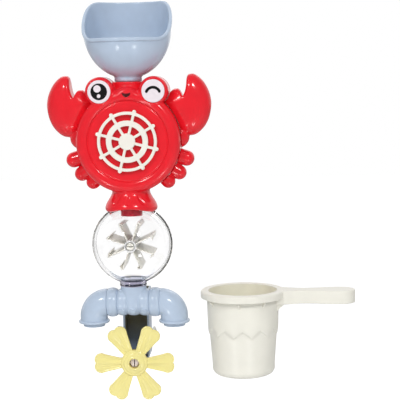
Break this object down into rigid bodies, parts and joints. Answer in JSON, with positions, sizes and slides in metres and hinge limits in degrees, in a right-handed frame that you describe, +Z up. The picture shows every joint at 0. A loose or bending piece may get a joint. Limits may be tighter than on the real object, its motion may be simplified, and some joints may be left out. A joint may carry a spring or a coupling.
{
  "type": "sand and water wheel toy",
  "caption": "Wall-mounted crab toy: a funnel feeds a helm, a wheel in a clear globe, two spouts and a flower wheel; with a handled pouring cup.",
  "frame": {"origin": "on the wall plane, midway between the suction cups, level with the centre of the crab's body", "axes": "+Z up, the front of the toy faces -Y, +Y points into the wall"},
  "size_m": [0.2739, 0.0826, 0.3609],
  "materials": {
    "blue_plastic": "semi-gloss moulded",
    "red_plastic": "gloss moulded",
    "dark_red_plastic": "gloss moulded",
    "cream_plastic": "semi-gloss moulded",
    "cup_plastic": "semi-gloss moulded",
    "white_plastic": "gloss moulded",
    "black_print": "gloss print",
    "yellow_plastic": "semi-gloss moulded",
    "clear_plastic": "clear polished",
    "suction_vinyl": "soft clear vinyl",
    "screw_steel": "plain"
  },
  "bodies": {
    "root": {"front_shell": "red_plastic", "back_shell": "red_plastic", "left_claw": "red_plastic", "right_claw": "red_plastic", "left_legs": "red_plastic", "right_legs": "red_plastic", "left_eye": "white_plastic", "right_eye": "white_plastic", "left_eye_print": "black_print", "right_eye_print": "black_print", "water_duct": "dark_red_plastic", "drum_cover": "dark_red_plastic", "shell_screws": "screw_steel", "globe_front": "clear_plastic", "globe_back": "clear_plastic", "paddle_pin": "cream_plastic", "pipe_tee": "blue_plastic", "left_elbow": "blue_plastic", "right_elbow": "blue_plastic", "left_nozzle": "blue_plastic", "right_nozzle": "blue_plastic", "back_column": "blue_plastic", "column_screws": "screw_steel", "flower_pin": "white_plastic", "left_suction_cup": "suction_vinyl", "right_suction_cup": "suction_vinyl"},
    "funnel_part": {"funnel": "blue_plastic"},
    "helm": {"ship_wheel": "cream_plastic", "wheel_axle": "cream_plastic", "drive_impeller": "cream_plastic"},
    "globe_wheel": {"paddle_wheel": "cream_plastic"},
    "flower": {"flower_wheel": "yellow_plastic", "flower_paddle": "cream_plastic"},
    "cup": {"pouring_cup": "cup_plastic"}
  },
  "joints": [
    {"name": "funnel_turn", "type": "hinge", "parent": "root", "child": "funnel_part", "pos_m": [0, -0.042, 0.0465], "axis": [0, 0, 1], "continuous": true},
    {"name": "helm_spin", "type": "hinge", "parent": "root", "child": "helm", "pos_m": [0, -0.042, 0], "axis": [0, -1, 0], "continuous": true},
    {"name": "globe_wheel_spin", "type": "hinge", "parent": "root", "child": "globe_wheel", "pos_m": [0, -0.042, -0.0935], "axis": [0, -1, 0], "continuous": true},
    {"name": "flower_spin", "type": "hinge", "parent": "root", "child": "flower", "pos_m": [0, -0.042, -0.2016], "axis": [0, -1, 0], "continuous": true},
    {"name": "cup_lift", "type": "slide", "parent": "root", "child": "cup", "axis": [0, 0, 1], "range_m": [0, 0.08]}
  ]
}
